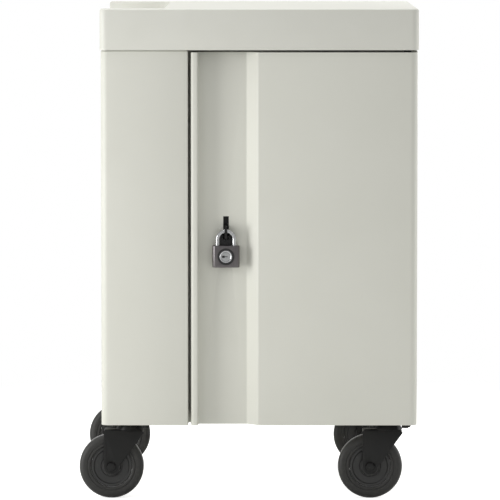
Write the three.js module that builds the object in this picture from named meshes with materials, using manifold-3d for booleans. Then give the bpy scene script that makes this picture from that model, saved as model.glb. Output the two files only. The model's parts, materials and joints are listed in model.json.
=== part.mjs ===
// Laptop charging cart: a steel cabinet on four swivel casters under a moulded top.
// A hinged front door with a lock channel closes the device bay, a two-bolt latch and a
// padlock secure it, and a rear door opens the bay that holds the power adapters.
// Millimetres, +Z up, +X to the right and +Y to the back as seen from the front.
// The origin is on the floor under the middle of the cabinet.

import * as THREE from "three";
import { mergeVertices } from "three/addons/utils/BufferGeometryUtils.js";
import Module from "manifold-3d";

const wasm = await Module();
wasm.setup();

// Overall sizes
const cartHeight = 966;
const lidWidth = 622;
const lidDepth = 680;
const lidHeight = 80;
const lidOverhang = 2; // lid beyond the cabinet on each side

// Sheet metal and fits
const sheet = 2;
const bendRadius = 3;
const seatGap = 0.3; // between pieces that rest on each other
const runningGap = 0.5; // between pieces that slide or turn
const panFlange = 25;
const rearReturn = 24;

// Moulded top
const lidWall = 4;
const lidCornerRadius = 14;
const lidEdgeRadius = 3;
const ribThickness = 3;
const scoopWidth = 126;
const scoopRim = 60; // lid left standing in front of and behind the scoop
const scoopDepth = 28;
const scoopCornerRadius = 24;
const scoopFloorRadius = 8;

// Front door
const doorWidth = 442.5;
const doorThickness = 30;
const doorGap = 5.5; // beside the fixed panel
const doorTopGap = 4.5;
const panelTopGap = 2.5;
const skirtDrop = 0.9; // panels and door below the base pan
const doorBackRadius = 10;
const doorEdgeRadius = 6; // free edge of the door
const doorReturn = 12; // flange left round the open back of the door
const sweepGap = 1.5; // right shell behind the sweep of the door
const linerLap = 6;
const pivotInset = 18.5;
const hingePinRadius = 4;
const hingeEyeRadius = 7;
const hingePlate = 2.5;
const hingeHeadHeight = 2.2;
const hingePinReach = 14; // pin inside the door
const frameClearance = 3.6; // cabinet front frame behind the sweep of the door edge

// Lock channel in the door
const channelFlange = 14;
const channelFloor = 95.5;
const channelSlope = 21.5;
const channelDepth = 24;
const channelRadius = 6;

// Latch
const lockInset = 68.5; // lock centre from the free edge of the door
const hangHeight = 532; // centre of the shackle bow above the floor
const latchTravel = 16;
const slotWidth = 11;
const slotEndGap = 1.5;
const tabThickness = 5;
const tabRim = 4.5;
const tabNeck = 11; // tab below its eye
const eyeClearance = 1.5; // round the shackle in its eye
const bezelThickness = 2.5;
const bezelWidth = 25;
const bezelDrop = 62; // bezel below the middle of the bow
const boltWidth = 12;
const boltThickness = 5;
const boltTailLength = 24; // rack below the pinion axis
const boltTipGap = 2; // drawn bolt to the frame flange
const toothModule = 1.5;
const pinionTeeth = 12;
const pressureAngle = THREE.MathUtils.degToRad(20);
const rackAddendum = 1;
const pinionAddendum = 1.2;
const toothClearance = 0.35;
const toothBacklash = 0.12;
const pinionDrop = 64; // pinion axis below the middle of the bow
const pinionPinRadius = 3;
const caseWall = 2;
const caseHalfWidth = 28;
const caseTop = 34;
const caseBottom = 42;
const guideWall = 2.5;
const guideHeight = 14;
const guideFromTip = 60;
const bumperRadius = 6;

// Padlock
const shackleRadius = 4;
const shackleSpan = 33; // between leg centres
const shackleRise = 28; // bow centre above the body
const shackleHeel = 24; // long leg inside the body
const shackleToe = 8; // short leg inside the body
const padlockWidth = 53;
const padlockHeight = 42.5;
const padlockThickness = 21;
const padlockCorner = 7;
const cylinderRadius = 12.4;
const cylinderDepth = 5;
const cylinderProud = 1;
const keyholeWidth = 2.4;
const keyholeHeight = 10;

// Inside the cabinet
const partitionFlange = 26;
const shelfHeight = 520;
const shelfLip = 20;
const rackSlots = 10;
const rackDepth = 345;
const rackBase = 4;
const finThickness = 3;
const finHeight = 190;
const finNose = 60; // fin height at the front
const rackSetback = 18; // rack behind the front frame
const rackBackGap = 35; // room for leads behind the rack
const cableSlotLength = 350;
const cableSlotHeight = 22;
const cableSlotDrop = 56.4; // below the ceiling of each bay
const stripLength = 400;
const stripHeight = 46;
const stripDepth = 38;
const stripRise = 180; // above the floor of each bay
const outletSize = 30;
const outletProud = 2;
const adapterShelfHeight = 505;
const adapterShelfGap = 25; // room for leads between its lip and the rear door
const adapterLip = 40;

// Rear door and service panel
const servicePanelHeight = 74; // fixed panel under the rear door
const rearHeaderDrop = 7.5; // top of the rear opening below the deck flange
const rearStile = 30;
const rearFlangeDepth = 20;
const rearDoorThickness = 18;
const rearDoorGap = 3;
const rearPivotInset = 16;
const rearPinRadius = 3;
const rearPinReach = 12;
const louvreRows = 7;
const louvreColumns = 2;
const louvreLength = 150;
const louvreHeight = 3;
const louvrePitch = 16;
const rearLockInset = 18;
const rearLockRadius = 8;
const rearLockHead = 11;
const camLength = 28;
const camWidth = 10;
const camThickness = 3;
const inletInset = 121; // middle of the inlet from the left side of the lid
const inletFlangeWidth = 64;
const inletFlangeHeight = 42;
const inletFlangeThickness = 2;
const inletBodyDepth = 26;
const inletBodyMargin = 5;
const socketWidth = 25;
const socketHeight = 17;
const socketDepth = 16;
const rockerWidth = 13;
const rockerHeight = 20;
const rockerDepth = 8;
const rockerTilt = THREE.MathUtils.degToRad(8);
const rockerWell = 12;

// Casters
const wheelDiameter = 127;
const treadWidth = 32;
const tyreSection = 22.5; // tyre thickness over the rim
const casterInsetX = 56; // swivel axis from the side of the lid
const casterInsetY = 75; // swivel axis from the front and back of the lid
const casterTrail = 36.3;
const wheelTopGap = 5;
const crownThickness = 4;
const raceHeight = 12;
const raceRadius = 28;
const raceTopRadius = 22;
const casterPlateLength = 92;
const casterPlateWidth = 66;
const casterPlateThickness = 4.3;
const kingpinRadius = 6;
const kingpinNutRadius = 9;
const kingpinNutHeight = 3.2;
const forkLeg = 3;
const forkSideGap = 3.5;
const forkEyeRadius = 15;
const forkLead = 28; // crown ahead of the swivel axis
const forkLegDrop = 5; // crown corner below the crown's top
const axleRadius = 6;
const axleHexRadius = 9;
const axleHexHeight = 6;
const hubBossRadius = 19;
const hubRim = 6;
const hubWeb = 20;

// Materials
const finish = (color, roughness, metalness) =>
  new THREE.MeshStandardMaterial({ color, roughness, metalness });
const palePaint = finish(0xd3d3c9, 0.5, 0.0);
const moulded = finish(0xd6d6cd, 0.55, 0.0);
const zincSteel = finish(0xb4b6b6, 0.35, 0.9);
const blackSteel = finish(0x262625, 0.5, 0.3);
const blackPlastic = finish(0x1d1d1d, 0.5, 0.0);
const greyPlastic = finish(0x55585a, 0.55, 0.0);
const darkRubber = finish(0x3a3a39, 0.8, 0.0);
const padlockSteel = finish(0x8d8f90, 0.35, 0.85);

// Geometry to solids and back
function toSolid(geometry) {
  const bare = new THREE.BufferGeometry();
  bare.setAttribute("position", geometry.getAttribute("position"));
  bare.setIndex(geometry.getIndex());
  const merged = mergeVertices(bare, 1e-4);
  const index = merged.getIndex().array;
  const triVerts = [];
  for (let i = 0; i < index.length; i += 3) {
    const [a, b, c] = index.slice(i, i + 3);
    if (a !== b && b !== c && c !== a) triVerts.push(a, b, c);
  }
  const mesh = new wasm.Mesh({
    numProp: 3,
    vertProperties: new Float32Array(merged.getAttribute("position").array),
    triVerts: new Uint32Array(triVerts),
  });
  return new wasm.Manifold(mesh);
}

function toGeometry(solid) {
  const mesh = solid.getMesh();
  const geometry = new THREE.BufferGeometry();
  geometry.setAttribute("position", new THREE.BufferAttribute(mesh.vertProperties, 3));
  geometry.setIndex(new THREE.BufferAttribute(mesh.triVerts, 1));
  geometry.computeVertexNormals();
  return geometry;
}

const union = (solids) => solids.reduce((all, solid) => all.add(solid));

function box(x0, x1, y0, y1, z0, z1) {
  const geometry = new THREE.BoxGeometry(x1 - x0, y1 - y0, z1 - z0);
  geometry.translate((x0 + x1) / 2, (y0 + y1) / 2, (z0 + z1) / 2);
  return toSolid(geometry);
}

// A prism of a shape drawn in the plane across the axis: XY for z, XZ for y, YZ for x.
function prism(shape, axis, from, to) {
  const settings = { depth: to - from, bevelEnabled: false, curveSegments: 8 };
  const geometry = new THREE.ExtrudeGeometry(shape, settings);
  if (axis === "z") geometry.translate(0, 0, from);
  if (axis === "y") geometry.rotateX(Math.PI / 2).translate(0, to, 0);
  if (axis === "x") {
    const x = new THREE.Vector3(1, 0, 0);
    const y = new THREE.Vector3(0, 1, 0);
    const z = new THREE.Vector3(0, 0, 1);
    geometry.applyMatrix4(new THREE.Matrix4().makeBasis(y, z, x)).translate(from, 0, 0);
  }
  return toSolid(geometry);
}

// A solid of revolution about the y or z axis, from [radius, height] pairs run anticlockwise.
function revolve(profile, axis, segments = 24) {
  const points = profile.map(([radius, height]) => new THREE.Vector2(radius, height));
  const geometry = new THREE.LatheGeometry(points, segments);
  geometry.rotateY(Math.PI / segments);
  if (axis === "z") geometry.rotateX(Math.PI / 2);
  return toSolid(geometry);
}

function rod(radius, axis, from, to, segments = 16) {
  return revolve([[0, from], [radius, from], [radius, to], [0, to]], axis, segments);
}

// Points and left-hand normals along the bend of a line at one of its corners.
function bend(before, [x, y, radius = 0], after, steps) {
  const corner = new THREE.Vector2(x, y);
  const arriving = corner.clone().sub(new THREE.Vector2(before[0], before[1])).normalize();
  const leaving = new THREE.Vector2(after[0], after[1]).sub(corner).normalize();
  const left = new THREE.Vector2(-arriving.y, arriving.x);
  const turn = Math.atan2(arriving.cross(leaving), arriving.dot(leaving));
  if (radius === 0) return [{ point: corner, normal: left }];
  const reach = radius * Math.tan(Math.abs(turn) / 2);
  const start = corner.clone().addScaledVector(arriving, -reach);
  const side = radius * Math.sign(turn);
  const centre = start.addScaledVector(left, side);
  return Array.from({ length: steps + 1 }, (_, i) => {
    const normal = left.clone().rotateAround(new THREE.Vector2(), (turn * i) / steps);
    return { point: centre.clone().addScaledVector(normal, -side), normal };
  });
}

// A closed outline from [x, y, radius] corners.
function outline(corners, steps = 4) {
  const count = corners.length;
  const points = corners.flatMap((corner, i) => {
    const before = corners[(i + count - 1) % count];
    return bend(before, corner, corners[(i + 1) % count], steps).map(({ point }) => point);
  });
  return new THREE.Shape(points);
}

// The section of a bent sheet: the line is one face, the other lies to its left or right.
function bentSheet(line, side, steps = 4) {
  const last = line.length - 1;
  const face = line.flatMap((corner, i) => {
    if (i > 0 && i < last) return bend(line[i - 1], corner, line[i + 1], steps);
    const [from, to] = i === 0 ? [line[0], line[1]] : [line[last - 1], line[last]];
    const along = new THREE.Vector2(to[0] - from[0], to[1] - from[1]).normalize();
    const normal = new THREE.Vector2(-along.y, along.x);
    return [{ point: new THREE.Vector2(corner[0], corner[1]), normal }];
  });
  const near = face.map(({ point }) => point);
  const far = face.map(({ point, normal }) => point.clone().addScaledVector(normal, side * sheet));
  return new THREE.Shape([...near, ...far.reverse()]);
}

// The corners of an anticlockwise outline moved inwards, with its radii to match.
function inset(corners, distance) {
  const count = corners.length;
  const lines = corners.map(([x, y], i) => {
    const [nextX, nextY] = corners[(i + 1) % count];
    const along = new THREE.Vector2(nextX - x, nextY - y).normalize();
    return { x: x - along.y * distance, y: y + along.x * distance, along };
  });
  return corners.map(([, , radius = 0], i) => {
    const a = lines[(i + count - 1) % count];
    const b = lines[i];
    const cross = a.along.cross(b.along);
    const reach = ((b.x - a.x) * b.along.y - (b.y - a.y) * b.along.x) / cross;
    const rounded = Math.max(radius - Math.sign(cross) * distance, 0);
    return [a.x + a.along.x * reach, a.y + a.along.y * reach, radius > 0 ? rounded : 0];
  });
}

const rectangle = (x0, x1, y0, y1, radius = 0) => [
  [x0, y0, radius],
  [x1, y0, radius],
  [x1, y1, radius],
  [x0, y1, radius],
];

const smallRound = 12; // sides of pins and small holes

const cart = new THREE.Group();

function place(name, solid, material, parent = cart) {
  const mesh = new THREE.Mesh(toGeometry(solid), material);
  mesh.name = name;
  parent.add(mesh);
  return mesh;
}

// Levels and planes that the pieces share
const casterTop =
  wheelDiameter + wheelTopGap + crownThickness + raceHeight + casterPlateThickness;
const panBottom = casterTop + seatGap;
const bayFloor = panBottom + sheet;
const panelBottom = panBottom - skirtDrop;
const lidBottom = cartHeight - lidHeight;
const panelTop = lidBottom - panelTopGap;
const doorTop = lidBottom - doorTopGap;
const deckTop = lidBottom - seatGap;
const deckFlangeBottom = deckTop - panFlange;
const wallBottom = bayFloor + seatGap;
const wallTop = deckTop - sheet - seatGap;

const bodyHalf = lidWidth / 2 - lidOverhang;
const bodyFront = -lidDepth / 2 + lidOverhang;
const bodyBack = -bodyFront;
const bodyInner = bodyHalf - sheet;
const doorRight = bodyHalf;
const doorLeft = doorRight - doorWidth;
const doorBack = bodyFront + doorThickness;
const jamb = doorLeft - doorGap; // right edge of the fixed front panel
const pivotX = doorRight - pivotInset;
const pivotY = bodyFront + doorThickness / 2;
const edgeReach = Math.hypot(pivotInset - doorBackRadius, doorThickness / 2 - doorBackRadius);
const doorSweep = edgeReach + doorBackRadius;
const frameFront = pivotY + doorSweep + frameClearance;
const frameBack = frameFront + sheet;
const rackFront = frameBack + rackSetback;
const rackBack = rackFront + rackDepth;
const bayBack = rackBack + rackBackGap;
const channelFace = bodyFront + channelDepth;
const linerFront = doorBack + seatGap;
const linerBack = linerFront + sheet;
const rearFace = bodyBack - sheet - seatGap; // outer face of the rear frame
const rearInner = rearFace - sheet;

// Moulded top: a ribbed shell with a scoop that is open to the left.
function topCover() {
  const half = lidWidth / 2;
  const plan = rectangle(-half, half, -lidDepth / 2, lidDepth / 2, lidCornerRadius);
  const bevel = {
    depth: lidHeight - lidEdgeRadius,
    bevelThickness: lidEdgeRadius,
    bevelSize: lidEdgeRadius,
    bevelOffset: -lidEdgeRadius,
    bevelSegments: 3,
  };
  const block = new THREE.ExtrudeGeometry(outline(plan), bevel).translate(0, 0, lidBottom);
  const below = box(-half, half, -lidDepth / 2, lidDepth / 2, lidBottom - lidHeight, lidBottom);
  const outer = toSolid(block).subtract(below);

  const scoopFloor = cartHeight - scoopDepth;
  const scoopPlan = rectangle(
    -half - scoopWidth,
    -half + scoopWidth,
    -lidDepth / 2 + scoopRim,
    lidDepth / 2 - scoopRim,
    scoopCornerRadius,
  );
  const cutter = {
    depth: scoopDepth,
    bevelThickness: scoopFloorRadius,
    bevelSize: scoopFloorRadius,
    bevelOffset: -scoopFloorRadius,
    bevelSegments: 3,
  };
  const scoopShape = new THREE.ExtrudeGeometry(outline(scoopPlan), cutter);
  const scoop = toSolid(scoopShape.translate(0, 0, scoopFloor + scoopFloorRadius));
  const trough = prism(outline(inset(scoopPlan, -lidWall)), "z", scoopFloor - lidWall, cartHeight);

  const hollowPlan = outline(inset(plan, lidWall));
  const hollow = prism(hollowPlan, "z", lidBottom - lidWall, cartHeight - lidWall);
  const shell = outer.subtract(scoop).subtract(hollow.subtract(trough));
  const ribs = [-lidWidth / 6, lidWidth / 6].map((x) =>
    box(x, x + ribThickness, -lidDepth / 2 + lidWall / 2, lidDepth / 2 - lidWall / 2, lidBottom, cartHeight),
  );
  const ties = [-lidDepth / 6, lidDepth / 6].map((y) =>
    box(-half + lidWall / 2, half - lidWall / 2, y, y + ribThickness, lidBottom, cartHeight),
  );
  const webs = union([...ribs, ...ties]).intersect(outer.subtract(scoop));
  return shell.add(webs);
}

// The plan shared by the base pan and the deck pan: full depth behind the fixed panel,
// and set back behind the door.
const panX = bodyInner - seatGap;
const panRadius = lidCornerRadius - sheet - seatGap;
const panPlan = [
  [-panX, bodyFront + sheet + seatGap, panRadius],
  [jamb - sheet - seatGap, bodyFront + sheet + seatGap],
  [jamb - sheet - seatGap, frameFront],
  [panX, frameFront],
  [panX, rearInner - seatGap, panRadius],
  [-panX, rearInner - seatGap, panRadius],
];

// A floor with a flange folded along each straight edge, and open reliefs at round corners.
function pan(floorFrom, flangeTo) {
  const [low, high] = [Math.min(floorFrom, flangeTo), Math.max(floorFrom, flangeTo)];
  const floor = Math.sign(flangeTo - floorFrom) * sheet;
  const hollow = [floorFrom + floor, flangeTo + floor].sort((a, b) => a - b);
  const block = prism(outline(panPlan), "z", low, high);
  const tray = block.subtract(prism(outline(inset(panPlan, sheet)), "z", hollow[0], hollow[1]));
  const relief = panRadius + sheet;
  const reliefs = panPlan
    .filter(([, , radius = 0]) => radius > 0)
    .map(([x, y]) => box(x - relief, x + relief, y - relief, y + relief, hollow[0], hollow[1]));
  return tray.subtract(union(reliefs));
}

place("top_cover", topCover(), moulded);
place("base_pan", pan(panBottom, panBottom + panFlange), palePaint);

// The deck has no flange over the door: a straight keeper for the upper bolt hangs there.
const keeperLeft = jamb - sheet - seatGap;
const keeperRight = panX - sheet;
const flangeGap = box(
  keeperLeft,
  keeperRight,
  frameFront - sheet,
  frameBack,
  deckFlangeBottom,
  deckTop - sheet,
);
place("deck_pan", pan(deckTop, deckFlangeBottom).subtract(flangeGap), palePaint);
const keeper = box(
  keeperLeft + seatGap,
  keeperRight - seatGap,
  frameFront,
  frameBack,
  deckFlangeBottom,
  deckTop - sheet - seatGap,
);
place("latch_keeper", keeper, palePaint);

// Left shell: the fixed front panel, wrapped round the left side to the back.
const leftShellLine = [
  [jamb, frameFront - seatGap],
  [jamb, bodyFront, bendRadius],
  [-bodyHalf, bodyFront, lidCornerRadius],
  [-bodyHalf, bodyBack, lidCornerRadius],
  [-bodyHalf + rearReturn, bodyBack],
];
place("left_shell", prism(bentSheet(leftShellLine, -1), "z", panelBottom, panelTop), palePaint);

// Right shell: starts just behind the arc of the door's edge and the face of the open door.
const edgeDepth = Math.sqrt(doorSweep ** 2 - (pivotInset - sheet) ** 2);
const rightShellFront = Math.max(pivotY + edgeDepth, doorBack) + sweepGap;
const rightShellLine = [
  [bodyHalf, rightShellFront],
  [bodyHalf, bodyBack, lidCornerRadius],
  [bodyHalf - rearReturn, bodyBack],
];
place("right_shell", prism(bentSheet(rightShellLine, 1), "z", panelBottom, panelTop), palePaint);

// Partitions, shelf and racks of the device bay
const sidePartitionLine = [
  [jamb + partitionFlange, frameBack + seatGap],
  [jamb, frameBack + seatGap, bendRadius],
  [jamb, bayBack - seatGap],
];
const bayLeft = jamb + sheet;
place("side_partition", prism(bentSheet(sidePartitionLine, -1), "z", wallBottom, wallTop), palePaint);

const bayWidth = panX - sheet - seatGap - bayLeft - seatGap;
const bayMiddle = bayLeft + seatGap + bayWidth / 2;
const shelfTop = shelfHeight;

function rearPartition() {
  const wall = outline(rectangle(jamb, panX - sheet - seatGap, wallBottom, wallTop));
  for (const ceiling of [shelfTop - sheet, wallTop]) {
    const low = ceiling - cableSlotDrop - cableSlotHeight;
    const ends = [bayMiddle - cableSlotLength / 2, bayMiddle + cableSlotLength / 2];
    const slot = rectangle(ends[0], ends[1], low, low + cableSlotHeight, cableSlotHeight / 2 - runningGap);
    wall.holes.push(new THREE.Path(outline(slot).getPoints()));
  }
  return prism(wall, "y", bayBack, bayBack + sheet);
}
place("rear_partition", rearPartition(), palePaint);

const shelfLine = [
  [rackFront - sheet, shelfTop - shelfLip],
  [rackFront - sheet, shelfTop, bendRadius],
  [bayBack - seatGap, shelfTop],
];
const deviceShelf = prism(bentSheet(shelfLine, -1), "x", bayLeft + seatGap, bodyInner - seatGap);
place("device_shelf", deviceShelf, palePaint);

// A comb of fins on a base plate, each fin low at its nose so that a hand reaches the devices.
function dividerRack(floor) {
  const bottom = floor + seatGap;
  const top = bottom + rackBase;
  const left = bayMiddle - bayWidth / 2;
  const pitch = (bayWidth - finThickness) / rackSlots;
  const fin = outline([
    [rackFront, bottom],
    [rackBack, bottom],
    [rackBack, top + finHeight, finNose / 4],
    [rackFront + finHeight, top + finHeight, finNose],
    [rackFront + finNose, top + finNose, finNose / 2],
    [rackFront, top + finNose, finNose / 6],
  ], 3);
  const base = box(left, left + bayWidth, rackFront, rackBack, bottom, top);
  const fins = Array.from({ length: rackSlots + 1 }, (_, i) =>
    prism(fin, "x", left + i * pitch, left + i * pitch + finThickness),
  );
  return base.add(union(fins));
}
place("lower_rack", dividerRack(bayFloor), greyPlastic);
place("upper_rack", dividerRack(shelfTop), greyPlastic);

// Power strips on the back of the rear partition, one behind each bay.
function powerStrip(floor) {
  const front = bayBack + sheet + seatGap;
  const z = floor + stripRise;
  const section = outline([
    [front, z - stripHeight / 2],
    [front + stripDepth, z - stripHeight / 2, bendRadius],
    [front + stripDepth, z + stripHeight / 2, bendRadius],
    [front, z + stripHeight / 2],
  ]);
  const left = bayMiddle - stripLength / 2;
  const pitch = stripLength / rackSlots;
  const outlets = Array.from({ length: rackSlots }, (_, i) => {
    const x = left + (i + 0.5) * pitch;
    const face = front + stripDepth;
    const half = outletSize / 2;
    return box(x - half, x + half, face - outletProud, face + outletProud, z - half, z + half);
  });
  return prism(section, "x", left, left + stripLength).add(union(outlets));
}
place("lower_power_strip", powerStrip(bayFloor), blackPlastic);
place("upper_power_strip", powerStrip(shelfTop), blackPlastic);

const adapterBack = rearFace - rearDoorThickness - adapterShelfGap;
const adapterLine = [
  [bayBack + sheet + seatGap, adapterShelfHeight],
  [adapterBack, adapterShelfHeight, bendRadius],
  [adapterBack, adapterShelfHeight + adapterLip],
];
place("adapter_shelf", prism(bentSheet(adapterLine, 1), "x", -panX, panX), palePaint);

// Front door: a folded pan with a channel for the lock down its free side.
const doorPlan = [
  [doorLeft, bodyFront, doorEdgeRadius],
  [doorLeft + channelFlange, bodyFront, bendRadius],
  [doorLeft + channelFlange, channelFace, bendRadius],
  [doorLeft + channelFlange + channelFloor, channelFace, channelRadius],
  [doorLeft + channelFlange + channelFloor + channelSlope, bodyFront, channelRadius],
  [doorRight, bodyFront, lidCornerRadius],
  [doorRight, doorBack, doorBackRadius],
  [doorLeft, doorBack, bendRadius],
];
const lockX = doorLeft + lockInset;
const hangY = channelFace - seatGap - bezelThickness - runningGap - padlockThickness / 2;
const eyeRadius = shackleRadius + eyeClearance;
const eyeZ = hangHeight - shackleRadius - 2 * seatGap + eyeRadius;
const tabBottom = eyeZ - eyeRadius - tabNeck;
const tabTop = eyeZ + eyeRadius + tabRim;
const slotBottom = tabBottom - slotEndGap;
const slotTop = tabTop + latchTravel + slotEndGap;
const lockSlot = box(
  lockX - slotWidth / 2,
  lockX + slotWidth / 2,
  channelFace - doorThickness,
  linerBack + doorThickness,
  slotBottom,
  slotTop,
);

const openingRight = doorRight - pivotInset - doorReturn / 2;

function doorSkin() {
  const block = prism(outline(doorPlan), "z", panelBottom, doorTop);
  const hollow = prism(outline(inset(doorPlan, sheet)), "z", panelBottom + sheet, doorTop - sheet);
  const window = box(
    doorLeft + doorReturn,
    openingRight,
    doorBack - 2 * sheet,
    doorBack + sheet,
    panelBottom + doorReturn,
    doorTop - doorReturn,
  );
  const rear = window.subtract(box(doorLeft, openingRight, bodyFront, channelFace + sheet, 0, cartHeight));
  const pinHole = rod(hingePinRadius + runningGap, "z", 0, cartHeight).translate([pivotX, pivotY, 0]);
  return block.subtract(hollow).subtract(rear).subtract(lockSlot).subtract(pinHole);
}
place("door_skin", doorSkin(), palePaint);

const liner = box(
  doorLeft + doorReturn - linerLap,
  openingRight + linerLap,
  linerFront,
  linerBack,
  panelBottom + doorReturn - linerLap,
  doorTop - doorReturn + linerLap,
);
place("door_liner", liner.subtract(lockSlot), palePaint);

// Pivot hinges: an angle on the front frame carries a headed pin into each end of the door.
function hingeAngle(plateFrom, plateTo, legTo) {
  const plan = [
    [pivotX - hingeEyeRadius, pivotY - hingeEyeRadius, hingeEyeRadius - seatGap],
    [pivotX + hingeEyeRadius, pivotY - hingeEyeRadius, hingeEyeRadius - seatGap],
    [pivotX + hingeEyeRadius, frameFront - seatGap],
    [pivotX - hingeEyeRadius, frameFront - seatGap],
  ];
  const plate = prism(outline(plan), "z", plateFrom, plateTo);
  const leg = box(
    pivotX - hingeEyeRadius,
    pivotX + hingeEyeRadius,
    frameFront - seatGap - sheet,
    frameFront - seatGap,
    Math.min(plateFrom, legTo),
    Math.max(plateTo, legTo),
  );
  const hole = rod(hingePinRadius + seatGap, "z", plateFrom - hingePlate, plateTo + hingePlate);
  return plate.add(leg).subtract(hole.translate([pivotX, pivotY, 0]));
}

const lowerPlateTop = panelBottom - runningGap;
const lowerPlate = lowerPlateTop - hingePlate;
const lowerLeg = panBottom + panFlange - hingePlate;
place("lower_hinge_bracket", hingeAngle(lowerPlate, lowerPlateTop, lowerLeg), blackSteel);
const upperPlate = doorTop + runningGap;
const upperPlateTop = upperPlate + hingePlate;
const upperLeg = deckFlangeBottom + hingePlate;
place("upper_hinge_bracket", hingeAngle(upperPlate, upperPlateTop, upperLeg), blackSteel);

const hingeHeadRadius = hingeEyeRadius - seatGap;
function headedPin(shank, head, headHeight) {
  return revolve(
    [
      [0, -headHeight],
      [head / 2, -headHeight],
      [head, -headHeight / 2],
      [head, 0],
      [hingePinRadius, 0],
      [hingePinRadius, shank],
      [0, shank],
    ],
    "z",
    smallRound,
  );
}
const pinLength = hingePlate + seatGap + runningGap + hingePinReach;
const lowerPin = place("lower_hinge_pin", headedPin(pinLength, hingeHeadRadius, hingeHeadHeight), blackSteel);
lowerPin.position.set(pivotX, pivotY, lowerPlate - seatGap);
const upperPin = place("upper_hinge_pin", headedPin(pinLength, hingeHeadRadius, hingeHeadHeight), blackSteel);
upperPin.position.set(pivotX, pivotY, upperPlateTop + seatGap);
upperPin.rotation.x = Math.PI;

// Rubber bumpers on the partition flange that meet the door liner.
const bumperSeat = frameBack + seatGap;
for (const [name, level] of [["lower_bumper", 0.25], ["upper_bumper", 0.75]]) {
  const height = bumperSeat - 2 * seatGap - linerBack;
  const dome = [
    [0, 0],
    [bumperRadius * 0.7, 0],
    [bumperRadius, height * 0.4],
    [bumperRadius, height],
    [0, height],
  ];
  const bumper = place(name, revolve(dome, "y", smallRound), darkRubber);
  const z = THREE.MathUtils.lerp(panelBottom, doorTop, level);
  bumper.position.set(doorLeft + doorReturn + bumperRadius, linerBack + seatGap, z);
}

// Lock bezel: a dark plate with a round top round the slot.
function lockBezel() {
  const half = bezelWidth / 2;
  const top = hangHeight - shackleRadius / 2;
  const plate = outline(
    [
      [lockX - half, hangHeight - bezelDrop, bendRadius],
      [lockX + half, hangHeight - bezelDrop, bendRadius],
      [lockX + half, top, half - seatGap],
      [lockX - half, top, half - seatGap],
    ],
    6,
  );
  const back = channelFace - seatGap;
  return prism(plate, "y", back - bezelThickness, back).subtract(lockSlot);
}
place("lock_bezel", lockBezel(), blackPlastic);

// Latch: the handle lifts the upper bolt, and a pinion drives the lower bolt down.
const pitchRadius = (toothModule * pinionTeeth) / 2;
const boltFront = frameBack + seatGap + 2 * runningGap;
const boltY = boltFront + boltThickness / 2;
const pinionZ = hangHeight - pinionDrop;
const toothPitch = Math.PI * toothModule;
const rackRoot = pitchRadius + pinionAddendum + toothClearance;

const latch = new THREE.Group();
latch.position.set(lockX, boltY, pinionZ);
cart.add(latch);

// A flat bolt left of the pinion, with rack teeth facing it and a tapered tip.
function bolt(length) {
  const lean = Math.tan(pressureAngle);
  const atPitch = toothPitch / 4 - toothBacklash;
  const root = atPitch + (rackRoot - pitchRadius) * lean;
  const tip = atPitch - rackAddendum * lean;
  const teeth = Math.floor((boltTailLength + pitchRadius) / toothPitch) - 1;
  const first = -(Math.floor(boltTailLength / toothPitch) - 0.5) * toothPitch;
  const edge = Array.from({ length: teeth }, (_, i) => first + i * toothPitch).flatMap((z) => [
    [-rackRoot, z - root],
    [-pitchRadius + rackAddendum, z - tip],
    [-pitchRadius + rackAddendum, z + tip],
    [-rackRoot, z + root],
  ]);
  const back = -rackRoot - boltWidth;
  const shape = outline([
    [back, -boltTailLength],
    [-rackRoot, -boltTailLength],
    ...edge,
    [-rackRoot, length - boltWidth / 2],
    [-rackRoot - boltWidth / 4, length],
    [back + boltWidth / 4, length],
    [back, length - boltWidth / 2],
  ]);
  return prism(shape, "y", -boltThickness / 2, boltThickness / 2);
}
const upperBoltLength = deckFlangeBottom - boltTipGap - pinionZ;
const lowerBoltLength = pinionZ - panBottom - panFlange - boltTipGap;
place("upper_bolt", bolt(upperBoltLength), zincSteel, latch);
const lowerBolt = place("lower_bolt", bolt(lowerBoltLength), zincSteel, latch);
lowerBolt.rotation.y = Math.PI;

// Pinion with involute flanks, one tooth towards each rack.
function pinion() {
  const base = pitchRadius * Math.cos(pressureAngle);
  const tip = pitchRadius + pinionAddendum;
  const root = pitchRadius - rackAddendum - toothClearance;
  const involute = (radius) => {
    const angle = Math.acos(Math.min(base / radius, 1));
    return Math.tan(angle) - angle;
  };
  const half = (radius) =>
    Math.PI / (2 * pinionTeeth) - toothBacklash / pitchRadius + involute(pitchRadius) - involute(radius);
  const flank = [[root, base], [base, base], [pitchRadius, pitchRadius], [tip, tip]];
  const points = [];
  for (let tooth = 0; tooth < pinionTeeth; tooth += 1) {
    const middle = (2 * Math.PI * tooth) / pinionTeeth;
    const rise = flank.map(([radius, at]) => [radius, middle - half(at)]);
    const fall = flank.map(([radius, at]) => [radius, middle + half(at)]).reverse();
    for (const [radius, angle] of [...rise, ...fall]) {
      points.push(new THREE.Vector2(radius * Math.cos(angle), radius * Math.sin(angle)));
    }
  }
  const gear = prism(new THREE.Shape(points), "y", -boltThickness / 2, boltThickness / 2);
  return gear.subtract(rod(pinionPinRadius + seatGap, "y", -boltThickness, boltThickness, smallRound));
}
place("latch_pinion", pinion(), zincSteel, latch);

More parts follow.
